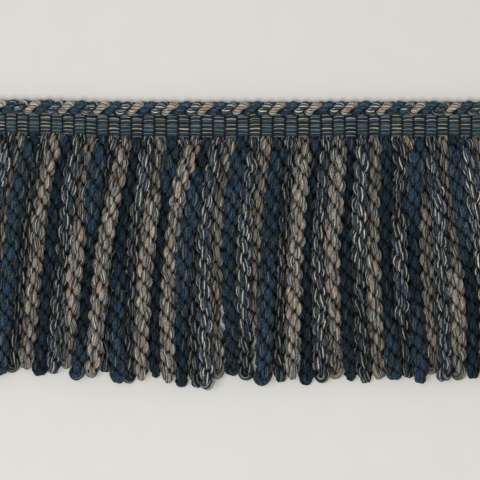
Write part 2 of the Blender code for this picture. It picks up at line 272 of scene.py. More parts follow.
def set_camera():
    """Looks straight down on the fringe."""
    bpy.context.scene.view_settings.view_transform = "Standard"
    camera = bpy.data.cameras.new("camera")
    camera.sensor_width = SENSOR_WIDTH
    camera.lens = SENSOR_WIDTH * (CAMERA_PLACE[2] - FACE_HEIGHT) / PICTURE_WIDTH
    holder = bpy.data.objects.new("camera", camera)
    holder.location = CAMERA_PLACE
    bpy.context.scene.collection.objects.link(holder)
    bpy.context.scene.camera = holder


def area_light(name, place, aim, size, power):
    """A large soft lamp at a place, turned towards a point."""
    lamp = bpy.data.lights.new(name, "AREA")
    lamp.shape = "SQUARE"
    lamp.size = size
    lamp.energy = power
    holder = bpy.data.objects.new(name, lamp)
    holder.location = place
    way = np.subtract(aim, place)
    holder.rotation_euler = (
        math.atan2(math.hypot(way[0], way[1]), -way[2]), 0.0, math.atan2(way[0], -way[1]) + math.pi)
    bpy.context.scene.collection.objects.link(holder)


def set_light():
    """A pale even sky and one large soft lamp."""
    world = bpy.data.worlds.new("world")
    bpy.context.scene.world = world
    world.use_nodes = True
    world.node_tree.nodes["Background"].inputs["Color"].default_value = SKY_COLOUR
    world.node_tree.nodes["Background"].inputs["Strength"].default_value = SKY_STRENGTH
    area_light("overhead", LAMP_PLACE, LAMP_AIM, LAMP_SIZE, LAMP_POWER)


# Colours

def paint(red, green, blue):
    """A colour given as on screen, from 0 to 255, made linear."""
    def linear(level):
        level = level / 255.0
        return level / 12.92 if level <= 0.04045 else ((level + 0.055) / 1.055) ** 2.4
    return (linear(red), linear(green), linear(blue), 1.0)


NAVY = paint(36, 48, 65)
INK = paint(27, 35, 44)
TEAL = paint(58, 78, 82)
SLATE = paint(56, 68, 78)
BLUE = paint(40, 71, 102)
CREAM = paint(200, 192, 168)
STONE = paint(144, 148, 147)
LAVENDER = paint(114, 120, 134)
PEACH = paint(172, 146, 128)
SAND = paint(156, 142, 126)
SMOKE = paint(96, 114, 118)
FLECK = paint(76, 103, 118)

# How little gloss any surface here has, and how strong and how high the relief of yarn is
GLOSS = 0.12
BUMP = 0.5
RELIEF = 0.2 * MM

# Threads round each ply, by the letter of their colour: three for each of the six yarns round a ply of a
# bullion. A weft has three plies in a bullion's leg and two in its strand of the edge.
THREADS = {"n": NAVY, "i": INK, "t": TEAL, "s": SLATE, "b": BLUE, "c": CREAM, "g": STONE,
           "l": LAVENDER, "p": PEACH, "d": SAND, "w": SMOKE}
WEFT_THREADS = {
    "A": ("ntnsnitwnsnitnsnin", "nbbnstnbbibbtnsnbt", "tnwsntisnwitnsntin"),
    "B": ("cnslntincnsgnictns", "nlnctsniglnscnitcn", "gnicntslncnitcngsn"),
    "C": ("pptcgsppdctgpcsgtd", "gppctspdtgcpplgtcs", "pdtgcppitpsgtcpgts"),
}
EDGE_THREADS = {
    "A": ("nbtniswnnitbsntstn", "tnbsnbtnnisntnbnti"),
    "B": ("scnlninsgntcnstnin", "scnlninsgntcnstnin"),
    "C": ("cptgpcsdpgtcpspdtc", "pcspdtcgpstpdcptgs"),
}

# Look of a weft's yarn: how much it fades to its mottle and how much it is flecked, how strong its
# painted light is, how hairy it is, how bright it stays under the painted shade where the cord lies low,
# and how dark the painted shade gets where plies meet
YarnLook = namedtuple("YarnLook", "tint mottle heather strength hairs low meeting")
BULLION_LOOKS = {
    "A": YarnLook(0.35, TEAL, 0.55, 0.93, 1.6, 0.45, 0.92),
    "B": YarnLook(0.35, SLATE, 0.30, 1.08, 2.3, 0.46, 0.76),
    "C": YarnLook(0.35, STONE, 0.15, 0.89, 2.3, 0.68, 0.68),
}
EDGE_LOOKS = {
    "A": YarnLook(0.20, TEAL, 0.30, 1.24, 2.5, 0.46, 0.69),
    "B": YarnLook(0.20, TEAL, 0.30, 1.40, 2.5, 0.46, 0.69),
    "C": YarnLook(0.20, TEAL, 0.30, 1.33, 2.5, 0.46, 0.69),
}

# Colours of the heading's warp, from its upper edge down: the dark set, then the light set
WARP_COLOURS = (
    ((112, 124, 128), (158, 164, 162), (36, 48, 60), (146, 152, 154), (50, 64, 76), (92, 104, 114),
     (122, 126, 120), (46, 60, 72), (104, 120, 122), (50, 66, 76), (84, 104, 108), (42, 54, 68)),
    ((148, 146, 130), (32, 43, 60), (146, 150, 150), (84, 96, 98), (40, 56, 70), (168, 163, 142),
     (38, 56, 68), (174, 169, 148), (32, 43, 60), (158, 156, 142), (32, 43, 60), (100, 107, 118)),
)


# Shader maths

class Value:
    """A number that varies over a surface. Sums on it add Math nodes."""

    def __init__(self, finish, socket):
        self.finish = finish
        self.socket = socket

    def math(self, operation, *others):
        values = dict(enumerate((self,) + others))
        return self.finish.node("ShaderNodeMath", values, operation=operation)[0]

    def __add__(self, other):
        return self.math("ADD", other)

    __radd__ = __add__

    def __mul__(self, other):
        return self.math("MULTIPLY", other)

    __rmul__ = __mul__

    def __sub__(self, other):
        return self.math("SUBTRACT", other)

    def __rsub__(self, other):
        return (self * -1.0) + other

    def __truediv__(self, other):
        return self.math("DIVIDE", other)

    def __pow__(self, other):
        return self.math("POWER", other)


class Finish:
    """A material that is built node by node."""

    def __init__(self, name, roughness, sheen=0.0):
        self.material = bpy.data.materials.new(name)
        self.material.use_nodes = True
        self.nodes = self.material.node_tree.nodes
        self.links = self.material.node_tree.links
        self.shader = self.nodes["Principled BSDF"]
        self.shader.inputs["Roughness"].default_value = roughness
        self.shader.inputs["Sheen Weight"].default_value = sheen
        self.shader.inputs["Specular IOR Level"].default_value = GLOSS

    def set(self, socket, value):
        """Links a Value to a socket, or sets a plain value on it."""
        if isinstance(value, Value):
            self.links.new(value.socket, socket)
        else:
            socket.default_value = value

    def node(self, kind, values, **settings):
        """Adds a node and returns its outputs. Values are named by socket name or number."""
        stops = settings.pop("stops", None)
        made = self.nodes.new(kind)
        for name, setting in settings.items():
            setattr(made, name, setting)
        if stops:
            ramp = made.color_ramp
            ramp.interpolation = "CONSTANT"
            while len(ramp.elements) < len(stops):
                ramp.elements.new(1.0)
            for element, (place, colour) in zip(ramp.elements, stops):
                element.position = place
                element.color = colour
        for name, value in values.items():
            self.set(made.inputs[name], value)
        return [Value(self, socket) for socket in made.outputs]

    def mix(self, amount, first, second, blend="MIX"):
        """Mixes two colours."""
        values = {0: amount, 6: first, 7: second}
        return self.node("ShaderNodeMix", values, data_type="RGBA", blend_type=blend)[2]

    def noise(self, place, scale, detail=2.0):
        """Soft noise from 0 to 1 at a place."""
        values = {"Vector": place, "Scale": scale, "Detail": detail}
        return self.node("ShaderNodeTexNoise", values)[0]

    def vector(self, x, y, z=0.0):
        """Joins three numbers into a place."""
        return self.node("ShaderNodeCombineXYZ", {0: x, 1: y, 2: z})[0]

    def ramp(self, factor, colours):
        """Equal bands of colours from 0 to 1."""
        stops = [(i / len(colours), colour) for i, colour in enumerate(colours)]
        return self.node("ShaderNodeValToRGB", {0: factor}, stops=stops)[0]


# Finishes

def yarn_finish(name, plies, look):
    """Threads lying side by side round a ply, each ply with the colours of its threads in turn. The
    map runs in millimetres along, and one unit round for each ply."""
    finish = Finish(name, roughness=0.95, sheen=0.03)
    place = finish.node("ShaderNodeUVMap", {}, uv_map=YARN_MAP)[0]
    along, round_it, _ = finish.node("ShaderNodeSeparateXYZ", {0: place})
    turn = round_it.math("FRACT")
    ply = ((round_it * (1.0 / len(plies))).math("FRACT") * float(len(plies))).math("FLOOR")
    colour = finish.ramp(turn, plies[0])
    for number, threads in enumerate(plies[1:], 1):
        later = ply.math("GREATER_THAN", number - 0.5)
        colour = finish.mix(later, colour, finish.ramp(turn, threads))
    across = round_it * float(len(plies[0]))
    thread = across.math("FLOOR")
    middle = across.math("FRACT") - 0.5
    own = finish.node("ShaderNodeTexWhiteNoise", {"W": thread}, noise_dimensions="1D")[0]
    streak = finish.noise(finish.vector(along * 0.16, thread * 7.3), 1.0)
    slant = finish.vector(along * 0.45 + across * 0.15, across * 0.64 - along * 0.97, thread * 3.1)
    fleck = finish.noise(slant, 1.0)
    fibre = (1.0 + (fleck - 0.5) * look.hairs).math("MAXIMUM", 0.15)
    faded = ((streak - 0.42) * (3.0 * look.tint)).math("MAXIMUM", 0.0)
    colour = finish.mix(faded, colour, look.mottle)
    lit = ((fleck - 0.52) * (6.0 * look.heather)).math("MAXIMUM", 0.0).math("MINIMUM", 0.8)
    colour = finish.mix(lit, colour, FLECK)
    # Painted shade: each thread is drawn darker towards its sides and lightest along its crown; the
    # crown also shapes the bump
    crown = 1.0 - (middle * 2.0).math("ABSOLUTE") ** 2.2
    # Painted shade: the deeper a point lies inside its cord, the darker it is drawn
    depth = finish.node("ShaderNodeAttribute", {}, attribute_name=DEPTH)[2]
    outside = ((depth - 0.44) * 2.6).math("MAXIMUM", 0.0).math("MINIMUM", 1.0)
    # Painted shade: dark lines where two plies meet, as wide as the meeting shade
    gap = finish.node("ShaderNodeAttribute", {}, attribute_name=GAP)[2]
    clear = (gap * (1.0 / MEETING_SHADE)).math("MAXIMUM", 0.0).math("MINIMUM", 1.0)
    # Painted shade: cords that lie low are drawn darker, down to the look's low share
    pile = finish.node("ShaderNodeAttribute", {}, attribute_name=PILE)[2]
    # Painted light and shade over the thread's own colour, times tone that differs at random from thread
    # to thread and fibre to fibre
    light = (0.36 + crown * 0.74) * (0.80 + own * 0.36) * fibre * look.strength
    light = light * (0.07 + outside * 0.95) * ((1.0 - look.meeting) + clear * look.meeting)
    light = light * (look.low + pile * (1.0 - look.low))
    shaded = finish.mix(1.0, colour, finish.vector(light, light, light), blend="MULTIPLY")
    finish.set(finish.shader.inputs["Base Color"], shaded)
    relief = crown * 0.5 + fleck * 0.55
    bump = finish.node("ShaderNodeBump", {"Height": relief, "Strength": BUMP, "Distance": RELIEF})
    finish.set(finish.shader.inputs["Normal"], bump[0])
    return finish.material


def yarn_finishes(prefix, threads, looks):
    """The finish of each weft's yarn."""
    finishes = {}
    for weft, plies in threads.items():
        colours = [[THREADS[letter] for letter in ply] for ply in plies]
        finishes[weft] = yarn_finish(prefix + weft, colours, looks[weft])
    return finishes


def heading_finish(bands):
    """Single yarns, each of its own colour, with painted shade on their sides and in the grooves between
    blocks. The map's second number counts the yarns.
    """
    finish = Finish("warp_yarn", roughness=0.95, sheen=0.03)
    place = finish.node("ShaderNodeUVMap", {}, uv_map=YARN_MAP)[0]
    along, round_it, _ = finish.node("ShaderNodeSeparateXYZ", {0: place})
    yarn = round_it.math("FLOOR")
    colour = finish.ramp((yarn + 0.5) / float(len(bands)), bands)
    fleck = finish.noise(finish.vector(along * 0.8, round_it * 4.0), 1.0, 3.0)
    twist = ((along * (math.tau / 1.6)) + round_it * math.tau).math("SINE")
    lengthwise = finish.noise(finish.vector(along * 0.055, yarn * 5.7), 1.0, 1.0)
    faded = ((lengthwise - 0.40) * 3.2).math("MAXIMUM", 0.0).math("MINIMUM", 0.65)
    colour = finish.mix(faded, colour, TEAL)
    # Painted shade: the nearer a yarn lies to the middle of the tape's thickness, where it dives between
    # blocks, the darker it is
    spot = finish.node("ShaderNodeTexCoord", {})[3]
    level = finish.node("ShaderNodeSeparateXYZ", {0: spot})[2] * (1.0 / HEADING_THICKNESS)
    depth = ((level - 0.5).math("ABSOLUTE") * 2.5).math("MINIMUM", 1.0) ** 2.0 + 0.02
    # Painted shade: each warp yarn drawn darker on its sides than along its top
    top = finish.node("ShaderNodeAttribute", {}, attribute_name=DEPTH)[2]
    crown = ((top - 0.70) * 3.6).math("MAXIMUM", 0.0).math("MINIMUM", 1.0)
    # Painted light and shade, with tone that differs at random: faint light and dark along the twist too
    light = (0.84 + fleck * 0.66) * (0.95 + twist * 0.07) * depth * (0.45 + crown * 0.71)
    shaded = finish.mix(1.0, colour, finish.vector(light, light, light), blend="MULTIPLY")
    finish.set(finish.shader.inputs["Base Color"], shaded)
    relief = twist * 0.3 + fleck
    bump = finish.node("ShaderNodeBump", {"Height": relief, "Strength": BUMP, "Distance": RELIEF})
    finish.set(finish.shader.inputs["Normal"], bump[0])
    return finish.material


def core_finish():
    """Dark packed yarn, painted near black in part for the shade deep inside the heading."""
    finish = Finish("packed_wefts", roughness=0.95)
    spot = finish.node("ShaderNodeTexCoord", {})[3]
    tone = finish.mix(finish.noise(spot, 900.0), paint(14, 19, 24), INK)
    finish.set(finish.shader.inputs["Base Color"], tone)
    return finish.material


# Meshes

def select_only(*objects):
    bpy.ops.object.select_all(action="DESELECT")
    for piece in objects:
        piece.select_set(True)
    bpy.context.view_layer.objects.active = objects[0]


def ring_profile(name, points):
    """A closed outline that is drawn along the routes."""
    outline = bpy.data.curves.new(name, "CURVE")
    outline.dimensions = "2D"
    line = outline.splines.new("POLY")
    line.points.add(len(points) - 1)
    for point, (x, y) in zip(line.points, points):
        point.co = (x, y, 0.0, 1.0)
    line.use_cyclic_u = True
    made = bpy.data.objects.new(name, outline)
    bpy.context.scene.collection.objects.link(made)
    return made


def yarn_outline(name, radius, ridges, ridge_height):
    """Outline of a ply: one ridge for each yarn, with a valley on each side of it."""
    points = []
    for i in range(2 * ridges):
        reach = radius + (ridge_height if i % 2 else -ridge_height)
        angle = -math.tau * i / (2 * ridges)
        points.append((reach * math.cos(angle), reach * math.sin(angle)))
    return ring_profile(name, points)


def round_outline(name, radius, sides):
    """Outline of a single yarn."""
    turns = [-math.tau * i / sides for i in range(sides)]
    return ring_profile(name, [(radius * math.cos(a), radius * math.sin(a)) for a in turns])


def laid_yarns(name, routes, outline, reach, ridged=False, first=0, mates=1, folded=False,
               flank_shade=0.0):
    """Draws an outline along each route and makes one closed mesh of them. Its map runs in
    millimetres along each route, and from the route's number to the next one round it."""
    curve = bpy.data.curves.new(name, "CURVE")
    curve.dimensions = "3D"
    curve.twist_mode = "MINIMUM"
    curve.bevel_mode = "OBJECT"
    curve.bevel_object = outline
    curve.use_fill_caps = True
    for route in routes:
        line = curve.splines.new("POLY")
        line.points.add(len(route.points) - 1)
        line.points.foreach_set("co", np.c_[route.points, np.ones(len(route.points))].ravel())
        line.points.foreach_set("radius", route.girth)
        line.points.foreach_set("tilt", route.turn)
    made = bpy.data.objects.new(name, curve)
    bpy.context.scene.collection.objects.link(made)
    select_only(made)
    bpy.ops.object.convert(target="MESH")
    made = bpy.context.view_layer.objects.active
    made.name = name
    made.data.name = name
    sides = len(outline.data.splines[0].points)
    map_yarns(made.data, routes, sides, first)
    note_depths(made.data, routes, sides, reach, flank_shade)
    radius = max(math.hypot(*point.co[:2]) for point in outline.data.splines[0].points)
    note_gaps(made.data, routes, sides, radius, mates, folded)
    if ridged:
        sharpen_valleys(made.data, routes, sides)
    bpy.ops.object.mode_set(mode="EDIT")
    bpy.ops.mesh.select_all(action="SELECT")
    bpy.ops.mesh.remove_doubles(threshold=MERGE_DISTANCE)
    bpy.ops.object.mode_set(mode="OBJECT")
    return made


def map_yarns(mesh, routes, sides, first):
    """Stretches the map of a row of drawn routes to millimetres along and route numbers round."""
    layer = mesh.uv_layers[0]
    layer.name = YARN_MAP
    spots = np.zeros(2 * len(mesh.loops))
    layer.data.foreach_get("uv", spots)
    spots = spots.reshape(-1, 2)
    start = len(mesh.loops) - sum(4 * sides * (len(route.points) - 1) for route in routes)
    spots[:start] = (0.0, first + 0.5)
    for number, route in enumerate(routes, first):
        end = start + 4 * sides * (len(route.points) - 1)
        length = np.linalg.norm(np.diff(route.points, axis=0), axis=1).sum() / MM
        spots[start:end, 0] *= length
        spots[start:end, 1] += number
        start = end
    layer.data.foreach_set("uv", spots.ravel())


def note_depths(mesh, routes, sides, reach, flank_shade):
    """Notes on every point how far out from the middle line of its cord it lies: 1 at its reach, and
    less on the flanks of a cord that lies low, as painted shade. Notes how high the cord lies too."""
    spots = np.zeros(3 * len(mesh.vertices))
    mesh.vertices.foreach_get("co", spots)
    spots = spots.reshape(-1, 3)
    centre = np.concatenate([np.repeat(route.centre, sides, axis=0) for route in routes])
    ahead = np.concatenate([np.repeat(route.ahead, sides, axis=0) for route in routes])
    away = spots[len(spots) - len(centre):] - centre
    away -= (away * ahead).sum(axis=1, keepdims=True) * ahead
    size = np.concatenate([np.repeat(route.size, sides) for route in routes])
    pile = np.concatenate([np.repeat(route.pile, sides) for route in routes])
    top = np.clip(0.25 + 1.5 * away[:, 2] / (reach * size), 0.0, 1.0)
    # Painted shade: the flanks of a low cord count as deeper, so they are drawn darker
    flank = flank_shade * (1.0 - top) * (1.0 - 0.55 * pile)
    depths = np.ones(len(spots))
    depths[len(spots) - len(centre):] = np.linalg.norm(away, axis=1) / (reach * size) - flank
    piles = np.ones(len(spots))
    piles[len(spots) - len(centre):] = pile
    mesh.attributes.new(DEPTH, "FLOAT", "POINT").data.foreach_set("value", depths)
    mesh.attributes.new(PILE, "FLOAT", "POINT").data.foreach_set("value", piles)


def note_gaps(mesh, routes, sides, radius, mates, folded):
    """Notes on every point how far it is from the next ply of its cord, in metres; the finish paints
    shade where this is small.
    The plies of a cord are so many routes in a row; folded ones also lie beside themselves on their way
    back."""
    spots = np.zeros(3 * len(mesh.vertices))
    mesh.vertices.foreach_get("co", spots)
    spots = spots.reshape(-1, 3)
    gaps = np.full(len(spots), OUT_OF_REACH)
    start = len(spots) - sum(sides * len(route.points) for route in routes)
    for first in range(0, len(routes), mates):
        cord = routes[first:first + mates]
        count = len(cord[0].points)
        number = np.arange(count)
        stride = np.linalg.norm(cord[0].centre[1] - cord[0].centre[0])
        lines = []
        for mate in cord:
            for way in ((1, -1) if folded else (1,)):
                away = (mate.points - mate.centre)[::way]
                along = (away * mate.ahead).sum(axis=1)
                lines.append((mate, way, number + along / stride, away - along[:, None] * mate.ahead,
                              radius * mate.girth[::way]))
        bend = np.repeat(np.abs(2 * number - count + 1) < 2 * TIP_STEPS, sides)
        for route in cord:
            own = spots[start:start + sides * count].reshape(count, sides, 3) - route.centre[:, None, :]
            along = (own * route.ahead[:, None, :]).sum(axis=2)
            own -= along[:, :, None] * route.ahead[:, None, :]
            place = (number[:, None] + along / stride).ravel()
            nearest = np.full(count * sides, OUT_OF_REACH)
            for mate, way, places, offsets, reach in lines:
                if mate is route and way == 1:
                    continue
                spot = np.stack([np.interp(place, places, offsets[:, i]) for i in range(3)], axis=1)
                gap = np.linalg.norm(own.reshape(-1, 3) - spot, axis=1)
                gap -= np.interp(place, places, reach)
                if mate is route:
                    gap[bend] = OUT_OF_REACH
                nearest = np.minimum(nearest, gap)
            gaps[start:start + sides * count] = nearest
            start += sides * count
    mesh.attributes.new(GAP, "FLOAT", "POINT").data.foreach_set("value", gaps)


def sharpen_valleys(mesh, routes, sides):
    """Marks the lines between the yarns of each ply, so that every yarn is shaded as a round one."""
    ends = np.zeros(2 * len(mesh.edges), dtype=np.int64)
    mesh.edges.foreach_get("vertices", ends)
    ends = ends.reshape(-1, 2)
    start = len(mesh.vertices) - sum(sides * len(route.points) for route in routes)
    step = ends - start
    along = np.abs(step[:, 1] - step[:, 0]) == sides
    valley = (step[:, 0] >= 0) & along & (step[:, 0] % sides % 2 == 0)
    mesh.edges.foreach_set("use_edge_sharp", valley)


# Routes

def ease(low, high, value):
    """Goes from 0 to 1 between two values, with soft ends."""
    t = np.clip((value - low) / (high - low), 0.0, 1.0)
    return t * t * (3.0 - 2.0 * t)


def heading_rise(x):
    """How far the heading swings up from its middle line at x."""
    left = LEFT_RISE * (1.0 - ease(LEFT_RISE_FULL, LEFT_RISE_NONE, x))
    right = RIGHT_RISE * ease(RIGHT_RISE_NONE, RIGHT_RISE_FULL, x)
    return left + right


def smooth_route(places, values, wanted):
    """Values at the wanted places, on a smooth line through the given ones."""
    places = np.asarray(places, float)
    values = np.asarray(values, float)
    slopes = np.gradient(values, places)
    index = np.clip(np.searchsorted(places, wanted) - 1, 0, len(places) - 2)
    span = places[index + 1] - places[index]
    t = np.clip((wanted - places[index]) / span, 0.0, 1.0)
    start = values[index] * (2 * t**3 - 3 * t**2 + 1) + slopes[index] * span * (t**3 - 2 * t**2 + t)
    end = values[index + 1] * (3 * t**2 - 2 * t**3) + slopes[index + 1] * span * (t**3 - t**2)
    return start + end


def strip_level(weft):
    """Height at which a weft leaves the heading."""
    return ROOT_HALF_HEIGHT + "ABC".index(weft) * STRIP_STEP


def settled_routes():
    """Lays the bullions beside and over each other: their places, sideways and up, at each station."""
    stations = np.arange(-ROOT_FRONT, LAST_STATION, SETTLE_STEP)
    side = []
    lift = []
    for b in BULLIONS:
        places = (-ROOT_FRONT, SHOULDER, WAIST, HIP, KNEE, b.drop * MM)
        drift = (0.0, b.shoulder, b.waist, b.hip, b.knee, b.tip)
        side.append(b.head * MM + smooth_route(places, drift, stations) * MM)
        heights = [int(digit) / 4.0 * LIFT_HEIGHT for digit in b.lift]
        lift.append(np.interp(stations, LIFT_PLACES, heights))
    side = np.array(side)
    wanted_side = side.copy()
    grown = np.clip((stations + ROOT_FRONT) / SWELL_LENGTH, 0.0, 1.0)
    root_radius = ROOT_HALF_WIDTH + ROOT_SPARE
    radius = root_radius + (BULLION_RADIUS - root_radius) * grown
    floor = ROOT_HALF_HEIGHT + (BULLION_RADIUS - ROOT_HALF_HEIGHT) * grown
    level = np.array([[strip_level(b.weft)] for b in BULLIONS])
    up = floor + np.array(lift) * grown + (level - ROOT_HALF_HEIGHT) * (1.0 - grown)
    apart = 2.0 * radius + PIECE_GAP + SPARE_GAP
    for turn in range(SETTLE_ROUNDS + CLEAR_ROUNDS):
        settling = turn < SETTLE_ROUNDS
        side_slope = np.gradient(side, SETTLE_STEP, axis=1)
        up_slope = np.gradient(up, SETTLE_STEP, axis=1)
        dx = side[:, None, :] - side[None, :, :]
        dz = up[:, None, :] - up[None, :, :]
        lean_x = 0.5 * (side_slope[:, None, :] + side_slope[None, :, :])
        lean_z = 0.5 * (up_slope[:, None, :] + up_slope[None, :, :])
        along = (dx * lean_x + dz * lean_z) / np.sqrt(1.0 + lean_x**2 + lean_z**2)
        reach = np.sqrt(np.maximum(dx**2 + dz**2 - along**2, 1e-12))
        short = np.clip(apart - reach, 0.0, None)
        for i in range(len(BULLIONS)):
            short[i, i, :] = 0.0
        steep = dz + np.where(dz < 0.0, -1.0, 1.0) * STACK_BIAS * settling
        flat = np.hypot(dx, steep) + 1e-9
        push_x = (short * dx / flat).sum(axis=1) * SIDE_PUSH
        push_z = (short * steep / flat).sum(axis=1) * UP_PUSH
        push_x[:, 0] = 0.0
        push_z[:, 0] = 0.0
        side += push_x
        up += push_z
        if settling:
            side += DRAW_BACK * (wanted_side - side)
            up[:, 1:] -= SINK_STEP
            for line in (side, up):
                line[:, 1:-1] += SMOOTHING * (line[:, :-2] + line[:, 2:] - 2.0 * line[:, 1:-1])
        up = np.maximum(up, floor)
        up[:, 0] = level[:, 0]
    return stations, closed_ranks(stations, side, up), up


def closed_ranks(stations, side, up):
    """Draws the lower bullions sideways until no gap between neighbours bares the floor, but for the
    openings."""
    side = side.copy()
    openings = []
    for opening in OPENINGS:
        start, end = opening.start * MM, opening.end * MM
        share = ease(start, start + OPENING_RAMP, stations)
        share = share * (1.0 - ease(end - OPENING_RAMP, end, stations))
        openings.append((opening.place * MM, opening.reach * MM, share))
    past = np.clip((stations - CLOSE_REACH) / (TIP_REACH - CLOSE_REACH), 0.0, 1.0)
    widest = CLOSE_SPACING + (TIP_SPACING - CLOSE_SPACING) * past
    for _ in range(CLOSE_ROUNDS):
        order = np.argsort(side, axis=0)
        lined = np.take_along_axis(side, order, axis=0)
        ease_of_moving = 1.0 / np.take_along_axis(up, order, axis=0) ** 2
        share = ease_of_moving[:-1] / (ease_of_moving[:-1] + ease_of_moving[1:])
        allowed = np.tile(widest, (len(lined) - 1, 1))
        for place, reach, share_open in openings:
            beside = (lined[:-1] < place) * (lined[1:] > place) * share_open
            allowed += beside * (2.0 * reach - allowed)
        gap = np.maximum(np.diff(lined, axis=0) - allowed, 0.0)
        lined[:-1] += CLOSE_PULL * gap * share
        lined[1:] -= CLOSE_PULL * gap * (1.0 - share)
        np.put_along_axis(side, order, lined, axis=0)
        for place, reach, share_open in openings:
            away = side - place
            side += 0.5 * np.sign(away) * np.maximum(reach * share_open - np.abs(away), 0.0)
        side[:, 1:-1] += CLOSE_SMOOTHING * (side[:, :-2] + side[:, 2:] - 2.0 * side[:, 1:-1])
    return side


def wobble(chance, places, wander):
    """A slow uneven line about zero, mostly within the wander's amount and as long as its wave."""
    line = np.zeros(len(places))
    for part, share in ((1.0, 0.6), (0.43, 0.4)):
        phase = chance.uniform(0.0, math.tau)
        wave = wander.wave * part * chance.uniform(0.85, 1.15)
        line += share * np.sin(math.tau * places / wave + phase)
    return wander.amount * line


def unit(vectors):
    return vectors / np.linalg.norm(vectors, axis=-1, keepdims=True)


def bullion_plies(bullion, stations, side, up, chance):
    """Routes of the three plies of a bullion, each down one leg, round the tip and up the other."""
    bottom = bullion.drop * MM - BULLION_REACH + TIP_ROOM
    top = -HEADING_LOW
    steps = round((bottom - top) / PLY_STEP)
    down = np.linspace(top, bottom, steps + 1)
    x = smooth_route(stations, side, np.maximum(down, stations[0]))
    z = smooth_route(stations, up, np.maximum(down, stations[0])) * STACK_SPREAD
    out = ease(top, top + SWELL_LENGTH, down)
    swell = ease(top, top + ROOT_SWELL, down)
    size = ROOT_SLIMNESS + (1.0 - ROOT_SLIMNESS) * swell
    high = np.clip((z - BULLION_REACH) / PILE_HEIGHT, 0.0, 1.0)
    size = size * (1.0 + PILE_GROWTH * (high - 0.35) * swell)
    lowest = size * (1.04 * BULLION_REACH - LEG_OFFSET * (1.0 - swell)) + FLOOR_ROOM
    z = np.maximum(0.5 * HEADING_THICKNESS * (1.0 - out) + z * out, lowest)
    share_down = np.clip((down + ROOT_FRONT) / (bullion.drop * MM + ROOT_FRONT), 0.0, 1.0)
    middle = np.stack([x, heading_rise(x) * (1.0 - share_down) - down, z], axis=1)
    middle[:, 0] += wobble(chance, down, CORD_WANDER) * out
    tangent = unit(np.gradient(middle, axis=0))
    across = unit(np.array([1.0, 0.0, 0.0]) - tangent[:, :1] * tangent)
    over = np.cross(tangent, across)

    leg_turn = chance.uniform(-0.9, 0.9)
    leg_turn = leg_turn - math.tau * (down - top) / (LEG_PITCH * chance.uniform(0.93, 1.07))
    leg_turn += wobble(chance, down, LEG_TURN_WANDER)
    ply_rate = math.tau / (PLY_PITCH * chance.uniform(0.95, 1.05))
    ply_start = chance.uniform(0.0, math.tau)
    legs = []
    for leg in range(2):
        turn = leg_turn + math.pi * leg
        ply_turn = ply_start + ply_rate * down + math.pi * leg
        ply_turn += wobble(chance, down, PLY_TURN_WANDER)
        leg_offset = LEG_OFFSET * size * (1.0 + wobble(chance, down, LEG_OFFSET_WANDER))
        ply_offset = PLY_OFFSET * size * (1.0 + wobble(chance, down, PLY_OFFSET_WANDER))
        legs.append((turn, ply_turn, leg_offset, ply_offset))

    end = middle[-1]
    ahead = tangent[-1]
    outward = math.cos(leg_turn[-1]) * across[-1] + math.sin(leg_turn[-1]) * over[-1]
    sideways = np.cross(ahead, outward)
    from_turn = legs[0][1][-1] - leg_turn[-1]
    to_turn = math.pi - (legs[1][1][-1] - leg_turn[-1])
    swing = (to_turn - from_turn + math.pi) % math.tau - math.pi
    bends = math.pi * np.arange(1, TIP_STEPS) / TIP_STEPS
    tip_ply = from_turn + swing * bends / math.pi
    tip_offset = LEG_OFFSET * size[-1] * chance.uniform(0.70, 0.95)
    radial = np.cos(bends)[:, None] * outward + np.sin(bends)[:, None] * ahead
    # Painted shade: how high the cord lies, from 0 to 1; near the heading it counts as high, so no shade
    # is painted there
    pile = np.clip((z - BULLION_REACH) / PILE_HEIGHT, 0.0, 1.0)
    pile += (1.0 - pile) * (1.0 - ease(top, top + ROOT_SHADE, down))
    pile = np.concatenate([pile, np.full(len(bends), pile[-1]), pile[::-1]])
    # Painted light: the tip's depth is measured from a point below its end, so that its top is drawn
    # lighter
    low_end = end - np.array([0.0, 0.0, 0.25 * BULLION_REACH])
    centre = np.concatenate([middle, np.repeat(low_end[None, :], len(bends), axis=0), middle[::-1]])
    ways = np.concatenate([tangent, np.zeros((len(bends), 3)), -tangent[::-1]])
    routes = []
    for ply in range(LEG_PLIES):
        halves = []
        bulges = []
        for (leg_angle, ply_turn, leg_offset, ply_offset), sense in zip(legs, (1.0, -1.0)):
            angle = ply_turn + sense * math.tau * ply / LEG_PLIES
            linger = 0.5 * PLY_LINGER * np.sin(angle - leg_angle)
            leg_angle = leg_angle + linger
            angle = angle - linger
            leg_way = (np.cos(leg_angle)[:, None] * across
                       + (swell * np.sin(leg_angle))[:, None] * over)
            ply_way = np.cos(angle)[:, None] * across + np.sin(angle)[:, None] * over
            halves.append(middle + leg_offset[:, None] * leg_way + ply_offset[:, None] * ply_way)
            bulges.append(np.cos(angle - leg_angle))
        angle = tip_ply + math.tau * ply / LEG_PLIES
        tip = end + tip_offset * radial + PLY_OFFSET * size[-1] * (
            np.cos(angle)[:, None] * radial + np.sin(angle)[:, None] * sideways)
        points = np.concatenate([halves[0], tip, halves[1][::-1]])
        bulge = np.concatenate([bulges[0], np.cos(angle), bulges[1][::-1]])
        sizes = np.concatenate([size, np.full(len(tip), size[-1]), size[::-1]])
        girth = sizes * (1.0 + PLY_BULGE * bulge)
        run = np.concatenate([[0.0], np.cumsum(np.linalg.norm(np.diff(points, axis=0), axis=1))])
        girth = girth * (1.0 + wobble(chance, run, PLY_GIRTH_WANDER))
        turn = math.tau * (run / (YARN_PITCH * chance.uniform(0.8, 1.3)) + chance.uniform())
        turn += wobble(chance, run, YARN_TURN_WANDER)
        routes.append(Route(points, girth, turn, centre, ways, pile, sizes))
    return routes


